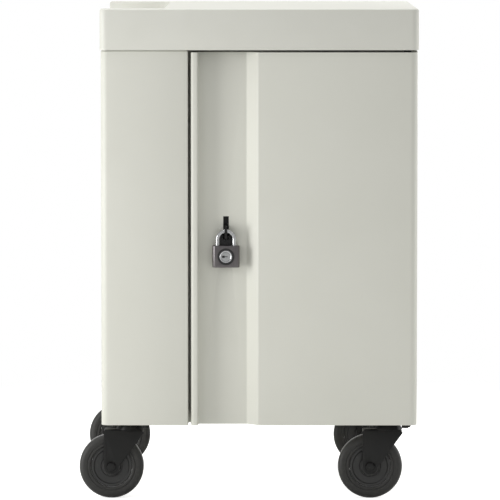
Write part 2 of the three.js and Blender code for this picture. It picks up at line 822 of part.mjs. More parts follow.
// Handle: the padlock tab in the slot, and the arm that it shares with the upper bolt.
function latchHandle() {
  const tabFront = hangY - eyeRadius - tabRim;
  const armBack = boltFront - seatGap;
  const tab = outline([
    [tabFront, tabBottom, tabRim],
    [armBack, tabBottom],
    [armBack, tabTop],
    [tabFront, tabTop, tabRim],
  ]);
  const eye = new THREE.Path().absarc(hangY, eyeZ, eyeRadius, 0, 2 * Math.PI, true);
  tab.holes.push(eye);
  const plate = prism(tab, "x", lockX - tabThickness / 2, lockX + tabThickness / 2);
  const arm = box(
    lockX - rackRoot - boltWidth,
    lockX + tabThickness / 2,
    linerBack + 2 * runningGap,
    armBack,
    tabBottom,
    tabTop,
  );
  return plate.add(arm);
}
place("latch_handle", latchHandle(), blackSteel);

// Latch case on the liner, open towards it, with the pinion's pin inside its back wall.
function latchCase() {
  const front = linerBack + seatGap;
  const back = boltY + boltThickness / 2 + 2 * runningGap + caseWall;
  const [low, high] = [pinionZ - caseBottom, pinionZ + caseTop];
  const walls = box(lockX - caseHalfWidth, lockX + caseHalfWidth, front, back, low, high);
  const hollow = box(
    lockX - caseHalfWidth + caseWall,
    lockX + caseHalfWidth - caseWall,
    front - caseWall,
    back - caseWall,
    low + caseWall,
    high - caseWall,
  );
  const gate = (side, from, to) => {
    const edges = [side * (rackRoot - runningGap), side * (rackRoot + boltWidth + runningGap)];
    const [left, right] = edges.sort((a, b) => a - b);
    const half = boltThickness / 2 + runningGap;
    return box(lockX + left, lockX + right, boltY - half, boltY + half, from, to);
  };
  const pin = rod(pinionPinRadius, "y", boltFront - runningGap, back - caseWall / 2, smallRound);
  return walls
    .subtract(hollow)
    .subtract(gate(-1, high - 2 * caseWall, high + caseWall))
    .subtract(gate(1, low - caseWall, low + 2 * caseWall))
    .add(pin.translate([lockX, 0, pinionZ]));
}
place("latch_case", latchCase(), greyPlastic);

// Rod guides: small bridges on the liner that keep the bolts straight.
function rodGuide(side, z) {
  const middle = lockX + side * (rackRoot + boltWidth / 2);
  const halfHole = boltWidth / 2 + runningGap;
  const half = halfHole + guideWall;
  const front = linerBack + seatGap;
  const back = boltY + boltThickness / 2 + runningGap + guideWall;
  const block = box(middle - half, middle + half, front, back, z, z + guideHeight);
  const hole = box(
    middle - halfHole,
    middle + halfHole,
    boltY - boltThickness / 2 - runningGap,
    boltY + boltThickness / 2 + runningGap,
    z - guideHeight,
    z + 2 * guideHeight,
  );
  return block.subtract(hole);
}
const upperGuideZ = pinionZ + upperBoltLength - guideFromTip - guideHeight;
const lowerGuideZ = pinionZ - lowerBoltLength + guideFromTip;
place("upper_rod_guide", rodGuide(-1, upperGuideZ), greyPlastic);
place("lower_rod_guide", rodGuide(1, lowerGuideZ), greyPlastic);

// Padlock, hanging by its bow in the eye of the handle.
const padlockTop = hangHeight - shackleRise;
const padlockMiddle = padlockTop - padlockHeight / 2;
const padlockFront = hangY - padlockThickness / 2;
const cylinderBack = padlockFront + cylinderDepth;

function shackle() {
  const half = shackleSpan / 2;
  const bowZ = hangHeight - half;
  const path = new THREE.CurvePath();
  const at = (x, z) => new THREE.Vector3(lockX + x, hangY, z);
  const heelEnd = padlockTop - shackleHeel;
  const toeEnd = padlockTop - shackleToe;
  path.add(new THREE.LineCurve3(at(-half, heelEnd), at(-half, bowZ)));
  const bow = new THREE.Shape().absarc(lockX, bowZ, half, Math.PI, 0, true).getPoints(16);
  for (let i = 1; i < bow.length; i += 1) {
    const from = new THREE.Vector3(bow[i - 1].x, hangY, bow[i - 1].y);
    path.add(new THREE.LineCurve3(from, new THREE.Vector3(bow[i].x, hangY, bow[i].y)));
  }
  path.add(new THREE.LineCurve3(at(half, bowZ), at(half, toeEnd)));
  const section = new THREE.Shape().absarc(0, 0, shackleRadius, 0, 2 * Math.PI);
  const sweep = { steps: 26, extrudePath: path, curveSegments: 5, bevelEnabled: false };
  return toSolid(new THREE.ExtrudeGeometry(section, sweep));
}
place("padlock_shackle", shackle(), padlockSteel);

function padlockBody() {
  const plan = outline(
    rectangle(
      lockX - padlockWidth / 2,
      lockX + padlockWidth / 2,
      hangY - padlockThickness / 2,
      hangY + padlockThickness / 2,
      padlockCorner,
    ),
  );
  const block = prism(plan, "z", padlockTop - padlockHeight, padlockTop);
  const legHole = (x, depth) =>
    rod(shackleRadius + runningGap, "z", padlockTop - depth - runningGap, cartHeight)
      .translate([lockX + x, hangY, 0]);
  const well = rod(cylinderRadius + seatGap, "y", hangY - padlockThickness, cylinderBack + seatGap, 24);
  return block
    .subtract(legHole(-shackleSpan / 2, shackleHeel))
    .subtract(legHole(shackleSpan / 2, shackleToe))
    .subtract(well.translate([lockX, 0, padlockMiddle]));
}
place("padlock_body", padlockBody(), padlockSteel);

function padlockCylinder() {
  const front = padlockFront - cylinderProud;
  const plug = revolve(
    [
      [0, front],
      [cylinderRadius - cylinderProud, front],
      [cylinderRadius, front + cylinderProud],
      [cylinderRadius, cylinderBack],
      [0, cylinderBack],
    ],
    "y",
  );
  const keyhole = box(
    -keyholeWidth / 2,
    keyholeWidth / 2,
    front - cylinderDepth,
    cylinderBack - 2 * cylinderProud,
    -keyholeHeight / 2,
    keyholeHeight / 2,
  );
  return plug.subtract(keyhole).translate([lockX, 0, padlockMiddle]);
}
place("padlock_cylinder", padlockCylinder(), padlockSteel);

// Rear frame: a plate with a flanged opening, and the service panel below it.
const rearLeft = -bodyInner + rearStile;
const rearRight = bodyInner - rearStile;
const rearBottom = panBottom + servicePanelHeight;
const rearTop = deckFlangeBottom - rearHeaderDrop;
const inletX = -lidWidth / 2 + inletInset;
const inletZ = panBottom + panFlange + inletFlangeHeight / 2 + seatGap;
const inletBodyWidth = inletFlangeWidth - 2 * inletBodyMargin;
const inletBodyHeight = inletFlangeHeight - 2 * inletBodyMargin;

function rearFrame() {
  const halfWidth = bodyHalf - lidCornerRadius;
  const plate = box(-halfWidth, halfWidth, rearInner, rearFace, panelBottom, panelTop);
  const rim = rectangle(rearLeft, rearRight, rearBottom, rearTop);
  const flange = prism(outline(inset(rim, -sheet)), "y", rearFace - rearFlangeDepth, rearFace);
  const opening = prism(outline(rim), "y", rearFace - 2 * rearFlangeDepth, bodyBack);
  const cutOut = box(
    inletX - inletBodyWidth / 2 - seatGap,
    inletX + inletBodyWidth / 2 + seatGap,
    rearInner - sheet,
    bodyBack,
    inletZ - inletBodyHeight / 2 - seatGap,
    inletZ + inletBodyHeight / 2 + seatGap,
  );
  return plate.add(flange).subtract(opening).subtract(cutOut);
}
place("rear_frame", rearFrame(), palePaint);

// Rear door: a shallow pan with slits, hung on two pins in the flange of the opening.
const rearDoorInner = rearFace - rearDoorThickness;
const rearDoorRight = rearRight - rearDoorGap;
const rearDoorLeft = rearLeft + rearDoorGap;
const rearDoorBottom = rearBottom + rearDoorGap;
const rearDoorTop = rearTop - rearDoorGap;
const rearPivotX = rearDoorRight - rearPivotInset;
const rearPivotY = rearFace - rearDoorThickness / 2;
const rearLockX = rearDoorLeft + rearLockInset;
const rearLockZ = (rearDoorBottom + rearDoorTop) / 2;

function rearDoor() {
  const block = box(rearDoorLeft, rearDoorRight, rearDoorInner, rearFace, rearDoorBottom, rearDoorTop);
  const hollow = box(
    rearDoorLeft + sheet,
    rearDoorRight - sheet,
    rearDoorInner - sheet,
    rearFace - sheet,
    rearDoorBottom + sheet,
    rearDoorTop - sheet,
  );
  const slits = [];
  for (const end of [rearDoorBottom + 5 * louvrePitch, rearDoorTop - (louvreRows + 4) * louvrePitch]) {
    for (let row = 0; row < louvreRows; row += 1) {
      for (let column = 0; column < louvreColumns; column += 1) {
        const x = (column - (louvreColumns - 1) / 2) * (louvreLength + 3 * louvrePitch);
        const z = end + row * louvrePitch;
        const [left, right] = [x - louvreLength / 2, x + louvreLength / 2];
        slits.push(box(left, right, rearFace - 2 * sheet, bodyBack, z, z + louvreHeight));
      }
    }
  }
  const pinHole = rod(rearPinRadius + runningGap, "z", 0, cartHeight, smallRound);
  const lockHole = rod(rearLockRadius + runningGap, "y", 0, lidDepth);
  return block
    .subtract(hollow)
    .subtract(union(slits))
    .subtract(pinHole.translate([rearPivotX, rearPivotY, 0]))
    .subtract(lockHole.translate([rearLockX, 0, rearLockZ]));
}
place("rear_door", rearDoor(), palePaint);

const rearPin = rod(rearPinRadius, "z", 0, rearDoorGap + rearPinReach - seatGap, smallRound);
const rearLowerPin = place("rear_lower_pin", rearPin, zincSteel);
rearLowerPin.position.set(rearPivotX, rearPivotY, rearBottom + seatGap);
const rearUpperPin = place("rear_upper_pin", rearPin, zincSteel);
rearUpperPin.position.set(rearPivotX, rearPivotY, rearTop - seatGap);
rearUpperPin.rotation.x = Math.PI;

// Cam lock of the rear door, turned clear of the frame.
function rearLock() {
  const camFront = rearFace - rearFlangeDepth - camThickness - 2 * runningGap;
  const barrel = rod(rearLockRadius, "y", camFront, rearFace + seatGap);
  const head = rod(rearLockHead, "y", rearFace + seatGap, rearFace + seatGap + inletFlangeThickness);
  const cam = outline([
    [-camWidth / 2, -camWidth, camWidth / 4],
    [camWidth / 2, -camWidth, camWidth / 4],
    [camWidth / 2, camLength, camWidth / 4],
    [-camWidth / 2, camLength, camWidth / 4],
  ]);
  return union([barrel, head, prism(cam, "y", camFront, camFront + camThickness)]);
}
place("rear_lock", rearLock(), zincSteel).position.set(rearLockX, 0, rearLockZ);

// Power inlet with its socket and the well of the rocker switch.
const socketX = inletX - inletBodyWidth / 2 + inletBodyMargin / 2 + socketWidth / 2;
const rockerX = inletX + inletBodyWidth / 2 - inletBodyMargin / 2 - rockerWidth / 2;

function powerInlet() {
  const face = rearFace + seatGap + inletFlangeThickness;
  const flange = outline(
    rectangle(
      inletX - inletFlangeWidth / 2,
      inletX + inletFlangeWidth / 2,
      inletZ - inletFlangeHeight / 2,
      inletZ + inletFlangeHeight / 2,
      bendRadius,
    ),
  );
  const body = box(
    inletX - inletBodyWidth / 2,
    inletX + inletBodyWidth / 2,
    face - inletBodyDepth,
    face - inletFlangeThickness / 2,
    inletZ - inletBodyHeight / 2,
    inletZ + inletBodyHeight / 2,
  );
  const socket = outline([
    [socketX - socketWidth / 2, inletZ - socketHeight / 2],
    [socketX + socketWidth / 2, inletZ - socketHeight / 2],
    [socketX + socketWidth / 2, inletZ + socketHeight / 4],
    [socketX + socketWidth / 4, inletZ + socketHeight / 2],
    [socketX - socketWidth / 4, inletZ + socketHeight / 2],
    [socketX - socketWidth / 2, inletZ + socketHeight / 4],
  ]);
  const well = box(
    rockerX - rockerWidth / 2 - runningGap,
    rockerX + rockerWidth / 2 + runningGap,
    face - rockerWell,
    face + rockerWell,
    inletZ - rockerHeight / 2 - runningGap,
    inletZ + rockerHeight / 2 + runningGap,
  );
  return prism(flange, "y", rearFace + seatGap, face)
    .add(body)
    .subtract(prism(socket, "y", face - socketDepth, face + socketDepth))
    .subtract(well);
}
place("power_inlet", powerInlet(), blackPlastic);

// Rocker, drawn about its own axis and tipped to the off side.
function rocker() {
  const dish = rockerHeight * Math.tan(rockerTilt) / 2;
  const side = outline([
    [-rockerDepth, -rockerHeight / 2 + dish],
    [-rockerDepth, rockerHeight / 2 - dish],
    [0, rockerHeight / 2, seatGap],
    [-dish, 0],
    [0, -rockerHeight / 2, seatGap],
  ].reverse());
  return prism(side, "x", -rockerWidth / 2, rockerWidth / 2);
}
const powerSwitch = place("power_switch", rocker(), blackPlastic);
powerSwitch.position.set(rockerX, rearFace + seatGap + inletFlangeThickness, inletZ);
powerSwitch.rotation.x = rockerTilt;

// Casters: all four trail to the left, as after a push to the right.
const wheelRadius = wheelDiameter / 2;
const crownBottom = wheelDiameter + wheelTopGap;
const crownTop = crownBottom + crownThickness;
const raceTop = crownTop + raceHeight;
const rimRadius = wheelRadius - tyreSection;
const legInner = treadWidth / 2 + forkSideGap;
const legOuter = legInner + forkLeg;
const wheelSegments = 24;
const roundness = 1 / Math.cos(Math.PI / wheelSegments); // flats of the wheel stand on the floor

function casterPlate() {
  const plate = outline(
    rectangle(
      -casterPlateLength / 2,
      casterPlateLength / 2,
      -casterPlateWidth / 2,
      casterPlateWidth / 2,
      bendRadius,
    ),
  );
  const nutBottom = crownBottom - seatGap - kingpinNutHeight;
  const race = revolve(
    [
      [0, nutBottom],
      [kingpinNutRadius, nutBottom],
      [kingpinNutRadius, crownBottom - seatGap],
      [kingpinRadius, crownBottom - seatGap],
      [kingpinRadius, crownTop + seatGap],
      [raceRadius, crownTop + seatGap],
      [raceTopRadius, raceTop],
      [0, raceTop],
    ],
    "z",
    16,
  );
  const flat = prism(plate, "z", raceTop - seatGap, raceTop + casterPlateThickness);
  return race.add(flat);
}

function casterFork() {
  const side = [
    [-casterTrail - forkEyeRadius, wheelRadius - forkEyeRadius, forkEyeRadius - seatGap],
    [-casterTrail + forkEyeRadius, wheelRadius - forkEyeRadius, forkEyeRadius - seatGap],
    [-casterTrail + forkEyeRadius, wheelRadius],
    [forkLead, crownTop - forkLegDrop],
    [forkLead - forkLegDrop, crownTop],
    [-casterTrail - forkEyeRadius, crownTop, bendRadius],
  ];
  const cheeks = prism(outline(side), "y", -legOuter, legOuter);
  const gap = box(-lidWidth, lidWidth, -legInner, legInner, 0, crownBottom);
  const axleHole = rod(axleRadius + runningGap, "y", -lidDepth, lidDepth, smallRound);
  const pinHole = rod(kingpinRadius + runningGap, "z", 0, cartHeight, smallRound);
  return cheeks
    .subtract(gap)
    .subtract(axleHole.translate([-casterTrail, 0, wheelRadius]))
    .subtract(pinHole);
}

function casterAxle() {
  const end = legOuter + seatGap;
  const shank = rod(axleRadius, "y", -end - axleHexHeight / 2, end + axleHexHeight / 2, smallRound);
  const head = rod(axleHexRadius, "y", -end - axleHexHeight, -end, 6);
  const nut = rod(axleHexRadius, "y", end, end + axleHexHeight, 6);
  return union([shank, head, nut]);
}

function casterHub() {
  const bore = axleRadius + seatGap;
  const boss = legInner - runningGap;
  const rim = treadWidth / 2 - hubRim / 2;
  const inner = rimRadius - hubRim;
  return revolve(
    [
      [bore, -boss],
      [hubBossRadius, -boss],
      [hubBossRadius, -hubWeb / 2],
      [inner, -hubWeb / 2],
      [inner, -rim],
      [rimRadius - seatGap, -rim],
      [rimRadius - seatGap, rim],
      [inner, rim],
      [inner, hubWeb / 2],
      [hubBossRadius, hubWeb / 2],
      [hubBossRadius, boss],
      [bore, boss],
      [bore, -boss],
    ],
    "y",
    wheelSegments,
  );
}

function casterTyre() {
  const outer = wheelRadius * roundness;
  const shoulder = treadWidth / 3;
  const half = treadWidth / 2;
  const arc = (from) =>
    Array.from({ length: 4 }, (_, i) => {
      const angle = from + (i * Math.PI) / 6;
      const middle = Math.sin(from) < 0 ? -half + shoulder : half - shoulder;
      return [outer - shoulder + shoulder * Math.cos(angle), middle + shoulder * Math.sin(angle)];
    });
  return revolve(
    [[rimRadius, -half], ...arc(-Math.PI / 2), ...arc(0), [rimRadius, half], [rimRadius, -half]],
    "y",
    wheelSegments,
  );
}

const casterX = lidWidth / 2 - casterInsetX;
const casterY = lidDepth / 2 - casterInsetY;
const corners = [
  ["front_left", -casterX, -casterY],
  ["front_right", casterX, -casterY],
  ["rear_left", -casterX, casterY],
  ["rear_right", casterX, casterY],
];
for (const [corner, x, y] of corners) {
  const caster = new THREE.Group();
  caster.position.set(x, y, 0);
  cart.add(caster);
  place(`${corner}_caster_plate`, casterPlate(), blackSteel, caster);
  place(`${corner}_fork`, casterFork(), blackSteel, caster);
  const wheel = new THREE.Group();
  wheel.position.set(-casterTrail, 0, wheelRadius);
  caster.add(wheel);
  place(`${corner}_axle`, casterAxle(), blackSteel, wheel);
  place(`${corner}_hub`, casterHub(), greyPlastic, wheel);
  place(`${corner}_tyre`, casterTyre(), darkRubber, wheel);
}

export default cart;
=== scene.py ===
# %% [markdown]
# # A laptop charging cart
# The cart is a pale steel cabinet on four swivel casters, under a moulded top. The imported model
# gives every solid at its real size, in metres, so this lesson adds what the solids leave out:
# a studio, finishes, softened edges, and the small turned and cut pieces that catch the eye.

# %% Load the frame
import json
import math

import bmesh
import bpy
from mathutils import Matrix, Vector


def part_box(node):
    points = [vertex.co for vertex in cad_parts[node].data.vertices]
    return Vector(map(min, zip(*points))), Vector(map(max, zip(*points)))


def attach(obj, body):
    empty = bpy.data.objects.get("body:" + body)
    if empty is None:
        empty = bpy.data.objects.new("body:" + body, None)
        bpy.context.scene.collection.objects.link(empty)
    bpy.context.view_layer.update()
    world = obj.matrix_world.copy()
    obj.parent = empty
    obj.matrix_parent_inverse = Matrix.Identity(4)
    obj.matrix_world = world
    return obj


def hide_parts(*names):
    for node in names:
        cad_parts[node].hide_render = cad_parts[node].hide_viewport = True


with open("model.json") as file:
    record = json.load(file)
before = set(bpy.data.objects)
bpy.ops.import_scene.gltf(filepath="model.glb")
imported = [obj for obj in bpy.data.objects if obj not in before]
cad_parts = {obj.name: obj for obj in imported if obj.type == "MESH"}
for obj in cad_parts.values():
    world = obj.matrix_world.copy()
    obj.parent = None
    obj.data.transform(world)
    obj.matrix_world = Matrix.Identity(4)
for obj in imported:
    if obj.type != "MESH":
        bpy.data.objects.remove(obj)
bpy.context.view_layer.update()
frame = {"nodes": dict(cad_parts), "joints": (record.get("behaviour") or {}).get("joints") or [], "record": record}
MM = 0.001

# %% [markdown]
# ## Camera
# A product photograph is taken from far off with a long lens, which keeps upright edges upright.
# A nearer camera would show more of the sides. The distance, tilt and lens here were found by
# laying the cart's known corners over the photograph.

# %% Camera
IMAGE_SIZE = 500  # pixels along each side of the photograph
FOCAL_LENGTH = 4498  # in the same pixels
SENSOR = 36  # millimetres across
VIEW_END = 200  # metres, past the far edge of the floor
CAMERA_PLACE = Vector((1.56, -9092.7, 1177.2)) * MM
CAMERA_TILT = math.radians(4.449)
CAMERA_TURN = math.radians(0.128)


def new_object(name, data):
    """An object that holds a camera, a lamp or a mesh, put into the scene."""
    made = bpy.data.objects.new(name, data)
    bpy.context.scene.collection.objects.link(made)
    return made


camera = bpy.data.cameras.new("studio_camera")
camera.sensor_width = SENSOR
camera.lens = SENSOR * FOCAL_LENGTH / IMAGE_SIZE
camera.clip_end = VIEW_END
camera_object = new_object("studio_camera", camera)
camera_object.location = CAMERA_PLACE
camera_object.rotation_euler = (math.pi / 2 - CAMERA_TILT, 0, CAMERA_TURN)
bpy.context.scene.camera = camera_object
bpy.context.scene.view_settings.view_transform = "Standard"
print("lens:", round(camera.lens), "mm")

# %% [markdown]
# ## Helpers for colours and nodes
# Colours are picked as sRGB hex values, as on a screen, and Blender mixes light in linear values,
# so one function converts them. Walls, floor and finishes are small trees of nodes. One function
# empties a tree, and one adds a node, sets it up and links it.

# %% Colour and node helpers
WHITE = (1, 1, 1, 1)


def linear(code):
    """A linear RGBA colour from an sRGB hex value."""
    channels = [int(code[i : i + 2], 16) / 255 for i in (1, 3, 5)]
    return [c / 12.92 if c <= 0.04045 else ((c + 0.055) / 1.055) ** 2.4 for c in channels] + [1]


def empty_tree(owner):
    """The node tree of a world or a material, with nothing in it yet."""
    owner.use_nodes = True
    owner.node_tree.nodes.clear()
    return owner.node_tree


def add_node(tree, kind, inputs=None, **settings):
    """Adds a node, with its settings, and gives its inputs a value or a link."""
    node = tree.nodes.new(kind)
    for name, value in settings.items():
        setattr(node, name, value)
    for name, value in (inputs or {}).items():
        if isinstance(value, bpy.types.NodeSocket):
            tree.links.new(value, node.inputs[name])
        else:
            node.inputs[name].default_value = value
    return node


print("middle grey of a screen, linear:", [round(c, 3) for c in linear("#808080")])

# %% [markdown]
# ## Studio lights
# A large softbox far to the left grazes the front. It brightens the slope of the door's channel,
# which faces it, and leaves the left of the channel in shade. One overhead lights the top, a weak
# one draws the rounded edge at the right, and one behind lights the back. Area lamps are used,
# because a point lamp would cast hard shadows.

# %% Softboxes
LAMP_TARGET = Vector((0, -0.3, 0.55))
LAMPS = [
    # name, place, width and height in metres, power in watts
    ("left_softbox", (-2.45, -1.30, 0.52), (0.9, 1.9), 48),
    ("top_softbox", (-0.3, 0.1, 3.2), (1.6, 1.6), 39),
    ("right_softbox", (2.7, 0.35, 0.7), (1.0, 1.6), 16),
    ("back_softbox", (1.3, 2.7, 1.5), (1.2, 1.6), 26),
]

for name, place, (width, height), power in LAMPS:
    lamp = bpy.data.lights.new(name, "AREA")
    lamp.shape = "RECTANGLE"
    lamp.size = width
    lamp.size_y = height
    lamp.energy = power
    softbox = new_object(name, lamp)
    softbox.location = place
    softbox.rotation_euler = (LAMP_TARGET - Vector(place)).to_track_quat("-Z", "Y").to_euler()
print("lamps:", len(LAMPS))

# %% [markdown]
# The rest of the light comes from white walls, which the world stands for. They are pure white
# for the camera, and dimmer in reflections and as light, so that the pale paint doesn't clip.

# %% White walls
AMBIENT = 0.57  # light from the walls
WALLS = 0.6  # walls as reflections show them

world = bpy.data.worlds.new("studio_world")
bpy.context.scene.world = world
tree = empty_tree(world)
path = add_node(tree, "ShaderNodeLightPath")
sharp_rays = add_node(
    tree,
    "ShaderNodeMath",
    {0: path.outputs["Is Glossy Ray"], 1: path.outputs["Is Transmission Ray"]},
    operation="MAXIMUM",
)
mirrored = add_node(
    tree, "ShaderNodeMath", {0: sharp_rays.outputs[0], 1: WALLS}, operation="MULTIPLY"
)
direct = add_node(
    tree, "ShaderNodeMapRange", {"Value": path.outputs["Is Camera Ray"], "To Min": AMBIENT}
)
strength = add_node(
    tree, "ShaderNodeMath", {0: mirrored.outputs[0], 1: direct.outputs[0]}, operation="MAXIMUM"
)
sky = add_node(tree, "ShaderNodeBackground", {"Strength": strength.outputs[0], "Color": WHITE})
add_node(tree, "ShaderNodeOutputWorld", {"Surface": sky.outputs[0]})
print("light of the walls:", AMBIENT)

# %% [markdown]
# ## Floor
# The floor is white paper. It takes a faint shadow close to the wheels, and further out it turns
# into plain white for the camera, as in a cut-out product picture.

# %% Paper
FLOOR_LIFT = 0.72  # added for the camera, so that open floor is white
SHADOW_REACH = 0.9  # metres from the middle of the cart
SHADOW_END = 1.9

paper = bpy.data.materials.new("white_paper")
tree = empty_tree(paper)
camera_ray = add_node(tree, "ShaderNodeLightPath").outputs["Is Camera Ray"]
place = add_node(tree, "ShaderNodeTexCoord")
reach = add_node(tree, "ShaderNodeVectorMath", {0: place.outputs["Object"]}, operation="LENGTH")
fade = add_node(
    tree,
    "ShaderNodeMapRange",
    {"Value": reach.outputs["Value"], "From Min": SHADOW_REACH, "From Max": SHADOW_END},
    interpolation_type="SMOOTHSTEP",
)
hidden = add_node(tree, "ShaderNodeMath", {0: camera_ray, 1: fade.outputs[0]}, operation="MULTIPLY")
lit = add_node(tree, "ShaderNodeBsdfDiffuse", {"Color": linear("#F2F2F0")})
lift = add_node(tree, "ShaderNodeMath", {0: camera_ray, 1: FLOOR_LIFT}, operation="MULTIPLY")
glow = add_node(tree, "ShaderNodeEmission", {"Color": WHITE, "Strength": lift.outputs[0]})
near = add_node(tree, "ShaderNodeAddShader", {0: lit.outputs[0], 1: glow.outputs[0]})
white = add_node(tree, "ShaderNodeEmission", {"Color": WHITE})
mixed = add_node(
    tree, "ShaderNodeMixShader", {0: hidden.outputs[0], 1: near.outputs[0], 2: white.outputs[0]}
)
add_node(tree, "ShaderNodeOutputMaterial", {"Surface": mixed.outputs[0]})
print("shadow fades from", SHADOW_REACH, "to", SHADOW_END, "m")

# %% [markdown]
# The sheet itself is one large face. It belongs to the stage and not to the cart, so it stays out
# of the cart's size and of the model that is kept.

# %% Floor sheet
FLOOR_REACH = 60  # metres from the middle to each side

sheet = bmesh.new()
bmesh.ops.create_grid(sheet, x_segments=1, y_segments=1, size=FLOOR_REACH)
mesh = bpy.data.meshes.new("studio_floor")
sheet.to_mesh(mesh)
sheet.free()
floor = new_object("studio_floor", mesh)
floor.data.materials.append(paper)
print("floor:", FLOOR_REACH * 2, "m wide")

# %% [markdown]
# ## Finishes
# Each finish starts from the real material and how its surface was made. They share one tree of
# nodes: a fine noise gives bumps and a change in gloss, because painted, moulded and plated
# surfaces all have some grain, and a broad noise mixes two close tones. The real grain is often
# finer than a pixel, so it is drawn coarser, and gently. What differs is in the numbers.

# %% One function for all finishes
BUMP_STRENGTH = 0.35
GLOSS_SPREAD = 0.06  # to either side of the roughness
GRAIN_DETAIL = 3.0
CLOUD_DETAIL = 4.0


def finish(name, grain, depth, roughness, colours, patch, stretch=(1, 1, 1), shader=None):
    """A material, with grain, depth and patches in millimetres and more values for its shader."""
    material = bpy.data.materials.new(name)
    tree = empty_tree(material)
    place = add_node(tree, "ShaderNodeTexCoord").outputs["Object"]
    noise = add_node(
        tree,
        "ShaderNodeTexNoise",
        {"Vector": place, "Scale": 1 / (grain * MM), "Detail": GRAIN_DETAIL},
    ).outputs[0]
    bump = add_node(
        tree,
        "ShaderNodeBump",
        {"Strength": BUMP_STRENGTH, "Distance": depth * MM, "Height": noise},
    )
    gloss = add_node(
        tree,
        "ShaderNodeMapRange",
        {"Value": noise, "To Min": roughness - GLOSS_SPREAD, "To Max": roughness + GLOSS_SPREAD},
    )
    stretched = add_node(tree, "ShaderNodeMapping", {"Vector": place, "Scale": stretch})
    cloud = add_node(
        tree,
        "ShaderNodeTexNoise",
        {"Vector": stretched.outputs[0], "Scale": 1 / (patch * MM), "Detail": CLOUD_DETAIL},
    )
    # A Mix node has sockets for every kind of value: its colours are inputs 6 and 7 and output 2.
    tones = add_node(
        tree,
        "ShaderNodeMix",
        {0: cloud.outputs[0], 6: linear(colours[0]), 7: linear(colours[1])},
        data_type="RGBA",
    ).outputs[2]
    inputs = {"Base Color": tones, "Roughness": gloss.outputs[0], "Normal": bump.outputs[0]}
    surface = add_node(tree, "ShaderNodeBsdfPrincipled", {**inputs, **(shader or {})})
    add_node(tree, "ShaderNodeOutputMaterial", {"Surface": surface.outputs[0]})
    return material


print("gloss varies by", GLOSS_SPREAD, "to either side")

# %% [markdown]
# ### Paint and plastics
# Powder coat is baked on as a melt, so it has a soft orange-peel surface and a satin gloss. The
# top, the racks, the small black pieces and the hubs are mouldings. They take the finer grain of a
# spark-eroded mould, which is drawn at 1.6 mm so that it shows at all.

# %% Paint and plastics
FINISHES = {}


def moulded_plastic(name, colours, roughness=0.52):
    """ABS or nylon from a grained mould: even in colour, with a soft shine."""
    return finish(
        name,
        grain=1.6,
        depth=0.08,
        roughness=roughness,
        colours=colours,
        patch=70,
        shader={"IOR": 1.54},
    )


# Baked polyester powder: pale and satin, with orange peel of about 3 mm.
FINISHES["cabinet_paint"] = finish(
    "powder_coat",
    grain=3.0,
    depth=0.06,
    roughness=0.46,
    colours=("#D3D3C9", "#D9D9D0"),
    patch=160,
    shader={"IOR": 1.5},
)
FINISHES["moulded_top"] = moulded_plastic("moulded_top_abs", ("#D2D2C9", "#D8D8D0"))
FINISHES["rack_plastic"] = moulded_plastic("moulded_grey_abs", ("#4E5153", "#5B5E60"))
FINISHES["black_plastic"] = moulded_plastic("moulded_black_abs", ("#101010", "#191919"), 0.46)
FINISHES["wheel_plastic"] = moulded_plastic("moulded_wheel_nylon", ("#20201F", "#2A2A29"), 0.42)
print("paint and plastics:", ", ".join(FINISHES))

# %% [markdown]
# ### Metals
# Zinc plate is bright but cloudy. The black coating on the casters' steel is thin and satin. The
# padlock's steel is brushed along its height, which draws its noise out into long streaks.

# %% Metals
METAL = {"Metallic": 1.0}  # a metal keeps the shader's own IOR

# Passivated zinc on steel: bright and cloudy, with a faint cool tint.
FINISHES["plated_steel"] = finish(
    "zinc_plate",
    grain=2.2,
    depth=0.03,
    roughness=0.34,
    colours=("#A9ABAC", "#C3C5C5"),
    patch=12,
    shader=METAL,
)
# Black epoxy on pressed steel: dark and satin, with a fine orange peel.
FINISHES["black_steel"] = finish(
    "black_coat",
    grain=2.4,
    depth=0.05,
    roughness=0.42,
    colours=("#0F0F0E", "#181817"),
    patch=25,
    shader={"IOR": 1.38},
)
# Brushed and plated steel of the padlock's case: grey, with upright streaks 1 mm wide.
FINISHES["padlock_steel"] = finish(
    "brushed_case",
    grain=1.0,
    depth=0.02,
    roughness=0.36,
    colours=("#5C5859", "#7C797A"),
    patch=1.0,
    stretch=(1, 1, 0.04),
    shader=METAL,
)
# Chrome on hardened steel: bright, and a little hazy from handling.
chrome = finish(
    "chrome_plate",
    grain=4.0,
    depth=0.01,
    roughness=0.26,
    colours=("#B9BABC", "#C8C9CA"),
    patch=9,
    shader=METAL,
)
print("finishes so far:", len(FINISHES) + 1)

# %% [markdown]
# ### Rubber
# The tread is a dark grey moulded rubber. Dust clings to it, so it has a soft sheen where it
# turns away. The door's bumpers are clean and duller.

# %% Rubber
RUBBER_IOR = 1.48

# Moulded grey rubber: dull and dusty, with scuffs about 6 mm across.
FINISHES["wheel_tyre"] = finish(
    "tread_rubber",
    grain=1.8,
    depth=0.09,
    roughness=0.55,
    colours=("#1F1F1D", "#31302E"),
    patch=6,
    shader={"IOR": RUBBER_IOR, "Sheen Weight": 1.0, "Sheen Roughness": 0.3},
)
# Moulded black rubber: dull and even.
FINISHES["soft_rubber"] = finish(
    "soft_bumper",
    grain=1.4,
    depth=0.05,
    roughness=0.7,
    colours=("#1E1E1E", "#292928"),
    patch=8,
    shader={"IOR": RUBBER_IOR},
)
print("finishes:", len(FINISHES) + 1)

# %% [markdown]
# ### Putting the finishes on
# The record names a finish slot for each solid. Every solid of a slot shares one material, so a
# change of finish is made in one place.

# %% Finishes by slot
SUBPARTS = frame["record"]["subparts"]
for part in SUBPARTS:
    solid = frame["nodes"][part["node"]]
    solid.material_slots[0].material = FINISHES[part["material_slot"]]
print("solids with a finish:", len(SUBPARTS))

